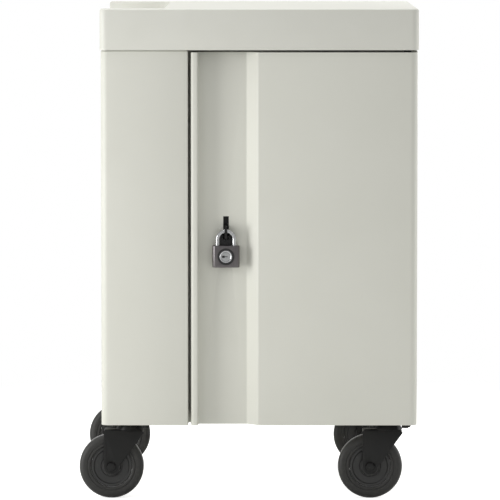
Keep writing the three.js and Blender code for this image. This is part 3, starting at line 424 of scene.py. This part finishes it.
# %% [markdown]
# ## Soft edges on the solids
# No real edge is perfectly sharp: folded sheet has a bend, and plastic has the radius of its
# mould. Smooth shading alone would smear across the corners, so edges over an angle stay sharp
# for it. A small group of geometry nodes does that on solids and new pieces alike.

# %% Smooth shading
SMOOTH_ANGLE = math.radians(38)


def smooth_shading(angle):
    """A node group that shades faces smooth and keeps edges over an angle sharp."""
    group = bpy.data.node_groups.new("smooth_below_angle", "GeometryNodeTree")
    for side in ("INPUT", "OUTPUT"):
        group.interface.new_socket("Geometry", in_out=side, socket_type="NodeSocketGeometry")
    start = add_node(group, "NodeGroupInput")
    turn = add_node(group, "GeometryNodeInputMeshEdgeAngle")
    sharp = add_node(
        group,
        "FunctionNodeCompare",
        {"A": turn.outputs["Unsigned Angle"], "B": angle},
        data_type="FLOAT",
        operation="GREATER_THAN",
    )
    faces = add_node(
        group, "GeometryNodeSetShadeSmooth", {"Geometry": start.outputs[0]}, domain="FACE"
    )
    edges = add_node(
        group,
        "GeometryNodeSetShadeSmooth",
        {"Geometry": faces.outputs[0], "Selection": sharp.outputs[0], "Shade Smooth": False},
        domain="EDGE",
    )
    add_node(group, "NodeGroupOutput", {"Geometry": edges.outputs[0]})
    return group


shading = smooth_shading(SMOOTH_ANGLE)
print("sharp over", round(math.degrees(SMOOTH_ANGLE)), "degrees")

# %% [markdown]
# The solids arrive as loose triangles. Modifiers weld them, clear the flat faces of their
# triangles, round the sharp edges, and then shade them. The meshes themselves stay as they came.

# %% Rounded edges
WELD_DISTANCE = 0.01 * MM
FLAT_ANGLE = math.radians(0.5)
EDGE_SEGMENTS = 2
EDGE_RADII = {
    # in millimetres
    "moulded_top": 1.5,
    "cabinet_paint": 0.6,
    "rack_plastic": 0.6,
    "black_plastic": 0.5,
    "black_steel": 0.6,
    "plated_steel": 0.4,
    "padlock_steel": 0.8,
    "soft_rubber": 0.6,
    "wheel_plastic": 0.8,
    "wheel_tyre": 0.8,
}


def soften(solid, radius):
    """Rounds a solid's sharp edges by a radius in millimetres."""
    weld = solid.modifiers.new("weld", "WELD")
    weld.merge_threshold = WELD_DISTANCE
    flat = solid.modifiers.new("flat_faces", "DECIMATE")
    flat.decimate_type = "DISSOLVE"
    flat.angle_limit = FLAT_ANGLE
    bevel = solid.modifiers.new("edge_radius", "BEVEL")
    bevel.width = radius * MM
    bevel.segments = EDGE_SEGMENTS
    bevel.limit_method = "ANGLE"
    bevel.angle_limit = SMOOTH_ANGLE
    solid.modifiers.new("shading", "NODES").node_group = shading


for part in SUBPARTS:
    soften(frame["nodes"][part["node"]], EDGE_RADII[part["material_slot"]])
print("softened:", len(SUBPARTS))

# %% [markdown]
# ## Turned shapes
# Wheels, washers, screw heads and lock faces are all turned. One function draws a profile of
# (radius, height, corner radius) points, rounds its corners and spins it about Z, as a lathe
# would. Stacked cylinders would leave hard steps instead.

# %% Turned shapes
MERGE_DISTANCE = 0.001 * MM


def turned(profile, steps, closed=False):
    """A mesh spun about Z from points in millimetres, each with the radius of its corner."""
    mesh = bmesh.new()
    points = [mesh.verts.new((radius * MM, 0, height * MM)) for radius, height, _ in profile]
    for here, there in zip(points, points[1:] + points[:1] if closed else points[1:]):
        mesh.edges.new((here, there))
    for point, (_, _, corner) in zip(points, profile):
        if corner:
            bmesh.ops.bevel(
                mesh,
                geom=[point],
                offset=corner * MM,
                segments=max(2, round(corner)),
                profile=0.5,
                affect="VERTICES",
                clamp_overlap=False,
                material=-1,
            )
    bmesh.ops.spin(
        mesh,
        geom=mesh.verts[:] + mesh.edges[:],
        axis=(0, 0, 1),
        cent=(0, 0, 0),
        angle=2 * math.pi,
        steps=steps,
        use_merge=True,
    )
    bmesh.ops.remove_doubles(mesh, verts=mesh.verts, dist=MERGE_DISTANCE)
    bmesh.ops.recalc_face_normals(mesh, faces=mesh.faces)
    return mesh


print("points merge within", MERGE_DISTANCE / MM, "mm")

# %% [markdown]
# ## Pressed pockets
# Crosses, key slots and sockets are pressed into a flat top. The top is cut along the pockets'
# sides, and the faces inside are pushed down and take a second material, a black that is painted
# shade, so that a shallow pocket looks as dark as a deep hole. A boolean would do it too, but leaves a poorer
# mesh.

# %% Pressed pockets
FLAT_TOLERANCE = 0.001 * MM


def only(kind, parts):
    """The vertices, or the faces, among what an operator made."""
    return [part for part in parts if isinstance(part, kind)]


def flat_top(mesh, top):
    """The faces of a mesh that lie flat at a height in millimetres."""
    return [
        face
        for face in mesh.faces
        if all(abs(vert.co.z - top * MM) < FLAT_TOLERANCE for vert in face.verts)
    ]


def pressed(mesh, pockets, top, depth):
    """Presses pockets (x from and to, y from and to) into a flat top, all in millimetres."""
    for left, right, front, back in pockets:
        cuts = [((left, 0, 0), (1, 0, 0)), ((right, 0, 0), (1, 0, 0))]
        cuts += [((0, front, 0), (0, 1, 0)), ((0, back, 0), (0, 1, 0))]
        for place, normal in cuts:
            faces = flat_top(mesh, top)
            around = {part for face in faces for part in (*face.edges, *face.verts)}
            bmesh.ops.bisect_plane(
                mesh, geom=faces + list(around), plane_co=Vector(place) * MM, plane_no=normal
            )
    sunk = []
    for face in flat_top(mesh, top):
        x, y, _ = face.calc_center_median() / MM
        if any(left < x < right and front < y < back for left, right, front, back in pockets):
            sunk.append(face)
    made = bmesh.ops.extrude_face_region(mesh, geom=sunk)["geom"]
    bmesh.ops.delete(mesh, geom=sunk, context="FACES")
    verts = only(bmesh.types.BMVert, made)
    bmesh.ops.translate(mesh, verts=verts, vec=(0, 0, -depth * MM))
    # The faces inside the pocket take material 1: painted shade in black.
    for vert in verts:
        for face in vert.link_faces:
            face.material_index = 1
    bmesh.ops.dissolve_degenerate(mesh, dist=MERGE_DISTANCE, edges=mesh.edges)
    return mesh


print("a top is flat within", FLAT_TOLERANCE / MM, "mm")

# %% [markdown]
# ## Pieces on their bodies
# A finished mesh becomes an object, takes its finish and rides on one of the cart's bodies. Its
# place is in the mesh, and the object stays at the origin. Shapes are made facing up, and a turn
# about X makes them face the front, the back or the floor.

# %% Placing pieces
FACING_FRONT = Matrix.Rotation(math.pi / 2, 4, "X")
FACING_BACK = Matrix.Rotation(-math.pi / 2, 4, "X")
FACING_DOWN = Matrix.Rotation(math.pi, 4, "X")


def add_piece(name, mesh, body, slot, material=None, painted_pocket_shade=None):
    """Makes an object of a mesh, which rides on a body and takes the finish of a slot."""
    data = bpy.data.meshes.new(name)
    mesh.to_mesh(data)
    mesh.free()
    data.materials.append(material or FINISHES[slot])
    # A second material paints shade into the inside of pockets.
    if painted_pocket_shade:
        data.materials.append(painted_pocket_shade)
    piece = new_object(name, data)
    piece.modifiers.new("shading", "NODES").node_group = shading
    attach(piece, body)
    return piece


def merged(meshes):
    """One mesh of several, which are freed."""
    whole = bmesh.new()
    for mesh in meshes:
        data = bpy.data.meshes.new("loose")
        mesh.to_mesh(data)
        mesh.free()
        whole.from_mesh(data)
        bpy.data.meshes.remove(data)
    return whole


def row_of(make, places, facing):
    """Copies of a small piece at places in metres, all facing one way, as one mesh."""
    copies = []
    for place in places:
        copy = make()
        copy.transform(Matrix.Translation(place) @ facing)
        copies.append(copy)
    return merged(copies)


# %% [markdown]
# ## Wheels
# The tyre's shoulders are a third of its width, a ring is moulded into its wall, and the wall
# steps down to the rim. The hub has a rim ring, a shallow web and a boss that reaches nearly to the
# fork. Both are the same on either side, so half of each profile is enough.

# %% Wheels
# radius, height over the middle plane and radius of the corner, in millimetres
TYRE_HALF = [
    (40.9, 13.0, 0),
    (40.9, 14.6, 0.4),
    (43.2, 16.0, 0.6),
    (46.2, 16.0, 0.2),
    (46.7, 15.1, 0.2),
    (47.7, 15.1, 0.2),
    (48.2, 16.0, 0.2),
    (63.5, 16.0, 10.5),
]
HUB_HALF = [
    (6.3, 18.9, 0.3),
    (17.2, 18.9, 1.2),
    (18.6, 10.2, 0.8),
    (20.6, 10.2, 0.6),
    (21.4, 11.0, 0.5),
    (33.8, 11.0, 1.0),
    (35.2, 13.2, 0.6),
    (40.7, 13.2, 0.7),
]
CORNERS = ["front_left", "front_right", "rear_left", "rear_right"]


def both_sides(half):
    """A closed profile from the half of it above the middle plane."""
    return half + [(radius, -height, corner) for radius, height, corner in reversed(half)]


for corner in CORNERS:
    low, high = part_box(f"{corner}_tyre")
    seat = Matrix.Translation((low + high) / 2) @ FACING_FRONT
    for kind, half, slot in (("tyre", TYRE_HALF, "wheel_tyre"), ("hub", HUB_HALF, "wheel_plastic")):
        mesh = turned(both_sides(half), steps=96, closed=True)
        mesh.transform(seat)
        wheel = add_piece(f"{corner}_turned_{kind}", mesh, f"{corner}_wheel", slot)
        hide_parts(f"{corner}_{kind}")
print("wheels:", len(CORNERS))

# %% [markdown]
# ## Caster bolts
# Each caster plate hangs from four hexagon bolts on washers. The head is a cone with six sides and
# no taper, and its upper rim is rounded, as a forged head's is.

# %% Caster bolts
# in millimetres
WASHER_RADIUS = 8
WASHER_THICKNESS = 1.5
HEAD_RADIUS = 7.5  # over the corners, for 13 mm across flats
HEAD_HEIGHT = 5.5
# in metres
PLATE_THICKNESS = 4.6 * MM
BOLT_REACH = Vector((32 * MM, 22 * MM))  # from the middle of the plate


def round_edges(mesh, edges, radius, segments):
    """Rounds some edges of a mesh by a radius in millimetres."""
    bmesh.ops.bevel(
        mesh,
        geom=edges,
        offset=radius * MM,
        segments=segments,
        profile=0.5,
        affect="EDGES",
        material=-1,
    )


def hexagon_bolt():
    """A hexagon head on its washer, with the seat at Z = 0."""
    rim = [(WASHER_RADIUS, 0, 0), (WASHER_RADIUS, WASHER_THICKNESS, 0.4)]
    washer = turned([(0, 0, 0), *rim, (0, WASHER_THICKNESS, 0)], steps=32)
    head = bmesh.new()
    bmesh.ops.create_cone(
        head,
        cap_ends=True,
        segments=6,
        radius1=HEAD_RADIUS * MM,
        radius2=HEAD_RADIUS * MM,
        depth=HEAD_HEIGHT * MM,
    )
    middle = (WASHER_THICKNESS + HEAD_HEIGHT / 2) * MM
    bmesh.ops.translate(head, verts=head.verts, vec=(0, 0, middle))
    upper = [edge for edge in head.edges if all(vert.co.z > middle for vert in edge.verts)]
    round_edges(head, upper, 0.7, segments=2)
    return merged([washer, head])


for corner in CORNERS:
    low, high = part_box(f"{corner}_caster_plate")
    middle = (low + high) / 2
    under = high.z - PLATE_THICKNESS
    places = [
        Vector((middle.x + x * BOLT_REACH.x, middle.y + y * BOLT_REACH.y, under))
        for x in (-1, 1)
        for y in (-1, 1)
    ]
    bolts = row_of(hexagon_bolt, places, FACING_DOWN)
    add_piece(f"{corner}_plate_bolts", bolts, "cabinet", "black_steel")
print("bolts:", len(CORNERS) * len(places))

# %% [markdown]
# ## Screws
# The shells are screwed to the rear frame through their returns, and the liner to the door along
# both its sides. The inlet has a screw at each end of its flange, and the latch's case one at each
# corner. All are pan heads: turned, with a driver's cross pressed in.

# %% Screw heads
# in millimetres
LARGE_HEAD = (4.2, 1.9)  # radius and height
SMALL_HEAD = (2.6, 1.4)
CAP_RADIUS = 1.1  # of the rounded edge
CAP_EDGE = 1.3  # from the rim to the flat
CROSS_DEPTH = 1.0
# half the length and half the width of the cross, as shares of the head's radius
CROSS_LENGTH = 0.55
CROSS_WIDTH = 0.13
# Black plastic inside pockets is painted shade, not the pieces' own colour.
pocket_shade = FINISHES["black_plastic"]  # for the inside of pockets


def pan_head(size=LARGE_HEAD):
    """A screw head with a pressed cross, with the seat at Z = 0."""
    radius, height = size
    flat = radius - CAP_EDGE
    rim = [(radius, 0, 0), (radius, height, CAP_RADIUS)]
    head = turned([(0, 0, 0), *rim, (flat, height, 0), (0, height, 0)], steps=24)
    long = radius * CROSS_LENGTH
    wide = radius * CROSS_WIDTH
    cross = [(-long, long, -wide, wide), (-wide, wide, -long, long)]
    return pressed(head, cross, height, CROSS_DEPTH)


def small_pan_head():
    """A smaller screw head of the same kind."""
    return pan_head(SMALL_HEAD)


print("heads:", 2 * LARGE_HEAD[0], "and", 2 * SMALL_HEAD[0], "mm across")

# %% [markdown]
# A row of screws is one piece, which is lighter to handle than a piece for every screw. All of
# them sit on the back of their solid, at the places where some columns and some levels cross.

# %% Rows of screws
SHELL_SCREW_INSET = 12 * MM
SHELL_SCREWS = [0.10, 0.30, 0.50, 0.70, 0.90]  # shares of the height
LINER_SCREW_INSET = 3.2 * MM
LINER_SCREWS = [0.02, 0.34, 0.66, 0.98]  # shares of the height
INLET_SCREW_INSET = 3.3 * MM
CASE_SCREW_INSET = 6 * MM


def inset(low, high, distance):
    """The two values that lie a distance inside two ends."""
    return [low + distance, high - distance]


def spread(low, high, shares):
    """Values at shares of the way between two ends."""
    return [low + share * (high - low) for share in shares]


def add_screws(node, make, body, columns, levels):
    """Puts screw heads on the back of a solid, and says how many."""
    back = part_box(node)[1].y
    places = [Vector((x, back, z)) for x in columns for z in levels]
    heads = row_of(make, places, FACING_BACK)
    # The crosses in the screw heads are filled with painted shade.
    add_piece(f"{node}_screws", heads, body, "plated_steel", painted_pocket_shade=pocket_shade)
    return len(places)


count = 0
for side, node in enumerate(("left_shell", "right_shell")):
    low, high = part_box(node)
    column = inset(low.x, high.x, SHELL_SCREW_INSET)[side]
    levels = spread(low.z, high.z, SHELL_SCREWS)
    count += add_screws(node, pan_head, "cabinet", [column], levels)

low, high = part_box("door_liner")
columns = inset(low.x, high.x, LINER_SCREW_INSET)
levels = spread(low.z, high.z, LINER_SCREWS)
count += add_screws("door_liner", small_pan_head, "front_door", columns, levels)

low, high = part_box("power_inlet")
columns = inset(low.x, high.x, INLET_SCREW_INSET)
levels = [(low.z + high.z) / 2]
count += add_screws("power_inlet", small_pan_head, "cabinet", columns, levels)

low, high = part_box("latch_case")
columns = inset(low.x, high.x, CASE_SCREW_INSET)
levels = inset(low.z, high.z, CASE_SCREW_INSET)
count += add_screws("latch_case", small_pan_head, "front_door", columns, levels)
print("screws:", count)

# %% [markdown]
# ## Dust shield of the latch
# A thin shield rides on the latch's slide behind the liner, so that little can be seen through the
# slot when the door stands open. It is a flat block with its four corners rounded.

# %% Dust shield of the latch
SHIELD = Vector((19, 0.8, 42)) * MM  # width, thickness and height
SHIELD_CORNER = 3  # millimetres
SHIELD_GAP = 0.6 * MM
SHIELD_LAP = 2 * MM  # onto the handle's arm


def add_block(mesh, size, middle=(0, 0, 0)):
    """Adds a block to a mesh, with its size and its middle in metres."""
    verts = bmesh.ops.create_cube(mesh, size=1)["verts"]
    bmesh.ops.scale(mesh, verts=verts, vec=size)
    bmesh.ops.translate(mesh, verts=verts, vec=middle)


def edges_along(mesh, axis):
    """The edges of a block that run along an axis: 0 for X, 1 for Y, 2 for Z."""
    return [
        edge
        for edge in mesh.edges
        if abs(edge.verts[0].co[axis] - edge.verts[1].co[axis]) > FLAT_TOLERANCE
    ]


shield = bmesh.new()
add_block(shield, SHIELD)
round_edges(shield, edges_along(shield, 1), SHIELD_CORNER, segments=4)
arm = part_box("latch_handle")[1]
low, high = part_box("lock_bezel")
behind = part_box("door_liner")[1].y + SHIELD_GAP + SHIELD.y / 2
place = ((low.x + high.x) / 2, behind, arm.z - SHIELD_LAP + SHIELD.z / 2)
bmesh.ops.translate(shield, verts=shield.verts, vec=place)
add_piece("latch_dust_shield", shield, "latch_slide", "black_steel")
print("shield at", [round(c, 3) for c in place])

# %% [markdown]
# ## Padlock
# The shackle is a chromed bar: a circle drawn up into the long leg, swung half round for the bow
# and drawn down into the short leg. A curve with a round section could be bent the same way, but
# these operators leave a clean mesh. The faces left inside the bar are deleted.

# %% Shackle
TOE_DEPTH = 8 * MM  # of the short leg in the padlock's case


def drawn(mesh, faces, height):
    """Draws faces up or down by a height in metres, and gives what that made."""
    made = bmesh.ops.extrude_face_region(mesh, geom=faces)["geom"]
    bmesh.ops.translate(mesh, verts=only(bmesh.types.BMVert, made), vec=(0, 0, height))
    return made


def shackle_bar():
    """A bent round bar in the place of the padlock's plain shackle."""
    low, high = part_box("padlock_shackle")
    radius = (high.y - low.y) / 2
    middle = (low + high) / 2
    half = (high.x - low.x) / 2 - radius
    bow = high.z - radius - half
    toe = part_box("padlock_body")[1].z - TOE_DEPTH
    mesh = bmesh.new()
    bmesh.ops.create_circle(mesh, cap_ends=True, segments=24, radius=radius)
    bmesh.ops.translate(mesh, verts=mesh.verts, vec=(middle.x - half, middle.y, low.z))
    leg = drawn(mesh, mesh.faces[:], bow - low.z)
    swung = bmesh.ops.spin(
        mesh,
        geom=leg,
        axis=(0, 1, 0),
        cent=(middle.x, middle.y, bow),
        angle=math.pi,
        steps=32,
    )["geom_last"]
    drawn(mesh, only(bmesh.types.BMFace, swung), toe - bow)
    inside = [face for face in mesh.faces if all(len(edge.link_faces) > 2 for edge in face.edges)]
    bmesh.ops.delete(mesh, geom=inside, context="FACES_ONLY")
    bmesh.ops.recalc_face_normals(mesh, faces=mesh.faces)
    return mesh


bar = add_piece("padlock_bar", shackle_bar(), "padlock_bow", "padlock_steel", chrome)
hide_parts("padlock_shackle")
print("shackle faces:", len(bar.data.polygons))

# %% [markdown]
# The lock's face is a bright dished ring round a plug with a keyway. It is set in a black collar,
# which is painted shade for the groove round the cylinder. The keyway lies to the left of the middle,
# as on a lock that is turned shut.

# %% Lock face and painted shade collar
PLUG_TOP = 5.2
KEYWAY_DEPTH = 3.0
RING = [(9.1, 0, 0), (12.4, 0, 0), (12.4, 5.1, 0.5), (11.2, 6.0, 0.5), (9.1, 4.9, 0.4)]
PLUG = [(0, 0, 0), (8.9, 0, 0), (8.9, PLUG_TOP, 0.5), (8.2, PLUG_TOP, 0), (0, PLUG_TOP, 0)]
KEYWAY = [(-7.6, -2.4, -2.2, 2.2), (-2.5, 3.4, -0.7, 0.7)]
SHADE_COLLAR = [(12.8, 0, 0), (16.6, 0, 0), (16.6, 0.7, 0.4), (12.8, 0.7, 0.2)]

low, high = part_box("padlock_cylinder")
middle = (low + high) / 2
seat = Matrix.Translation((middle.x, high.y, middle.z)) @ FACING_FRONT
ring = turned(RING, steps=64, closed=True)
ring.transform(seat)
bright_ring = add_piece("padlock_ring", ring, "padlock_plug", "padlock_steel", chrome)
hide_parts("padlock_cylinder")
plug = pressed(turned(PLUG, steps=48), KEYWAY, PLUG_TOP, KEYWAY_DEPTH)
plug.transform(seat)
# The keyway is filled with painted shade.
add_piece("padlock_plug_face", plug, "padlock_plug", "plated_steel", painted_pocket_shade=pocket_shade)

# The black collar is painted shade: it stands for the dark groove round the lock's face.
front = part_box("padlock_body")[0].y
shade_collar = turned(SHADE_COLLAR, steps=64, closed=True)
shade_collar.transform(Matrix.Translation((middle.x, front, middle.z)) @ FACING_FRONT)
add_piece("padlock_shade_collar", shade_collar, "padlock_case", "black_plastic")
print("lock face at", [round(c / MM, 1) for c in middle])

# %% [markdown]
# ## Rear lock
# The rear door has a cam lock. Its face is a plain disc with an upright key slot, in the middle
# of its head, which the joint's axis gives.

# %% Rear lock face
REAR_TOP = 0.8
REAR_FACE = [(0, 0, 0), (8.6, 0, 0), (8.6, REAR_TOP, 0.4), (8.0, REAR_TOP, 0), (0, REAR_TOP, 0)]
REAR_SLOT = [(-0.8, 0.8, -3.6, 3.6)]
REAR_SLOT_DEPTH = 0.6

turn = next(joint for joint in frame["joints"] if joint["name"] == "rear_lock_turn")
axis = Vector(turn["pos_m"])
disc = pressed(turned(REAR_FACE, steps=40), REAR_SLOT, REAR_TOP, REAR_SLOT_DEPTH)
disc.transform(Matrix.Translation((axis.x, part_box("rear_lock")[1].y, axis.z)) @ FACING_BACK)
# The key slot is filled with painted shade.
add_piece("rear_lock_face", disc, "rear_cam_lock", "plated_steel", chrome, pocket_shade)
print("rear lock at", [round(c, 3) for c in axis])

# %% [markdown]
# ## Outlets
# Each outlet of the power strips is a rounded face with two blade slots and an earth slot over
# them. One face is made for each place, and a strip's faces are joined into one piece.

# %% Outlets
# in millimetres
OUTLET = Vector((26, 26, 1.4))  # width, height and thickness of a face
OUTLET_CORNER = 4
BLADES = [(-7.4, -5.3, -1.0, 6.2), (5.3, 7.4, -0.4, 5.6), (-2.4, 2.4, -8.0, -3.6)]
BLADE_DEPTH = 1.2
OUTLETS = 10  # on each strip


def outlet_face():
    """A rounded outlet face with its slots, its seat at Z = 0."""
    mesh = bmesh.new()
    add_block(mesh, OUTLET * MM, (0, 0, OUTLET.z / 2 * MM))
    round_edges(mesh, edges_along(mesh, 2), OUTLET_CORNER, segments=5)
    return pressed(mesh, BLADES, OUTLET.z, BLADE_DEPTH)


for strip in ("lower_power_strip", "upper_power_strip"):
    low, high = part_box(strip)
    pitch = (high.x - low.x) / OUTLETS
    level = (low.z + high.z) / 2
    places = [Vector((low.x + (i + 0.5) * pitch, high.y, level)) for i in range(OUTLETS)]
    faces = row_of(outlet_face, places, FACING_BACK)
    # The outlet slots are filled with painted shade.
    add_piece(f"{strip}_outlets", faces, "cabinet", "rack_plastic", painted_pocket_shade=pocket_shade)
print("outlets on each strip:", OUTLETS)

# %% [markdown]
# ## Inlet
# The inlet has three flat pins at the bottom of its socket, which is beside the switch. They are
# small blocks in one mesh, and their edges are rounded together.

# %% Inlet pins
PIN = Vector((2, 12, 4)) * MM  # width, length and height
PIN_SETBACK = 10 * MM  # of the pins' middle from the inlet's face
# in millimetres
PIN_EDGE = 0.4
PINS = [(-7, -1.5), (0, 3.0), (7, -1.5)]  # beside and above the middle of the socket
SOCKET_OFFSET = 12  # of the socket's middle from the inlet's

low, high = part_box("power_inlet")
middle = (low + high) / 2
pins = bmesh.new()
for x, z in PINS:
    place = (middle.x + (x - SOCKET_OFFSET) * MM, high.y - PIN_SETBACK, middle.z + z * MM)
    add_block(pins, PIN, place)
round_edges(pins, pins.edges[:], PIN_EDGE, segments=2)
add_piece("power_inlet_pins", pins, "cabinet", "plated_steel")
print("pins:", len(PINS))
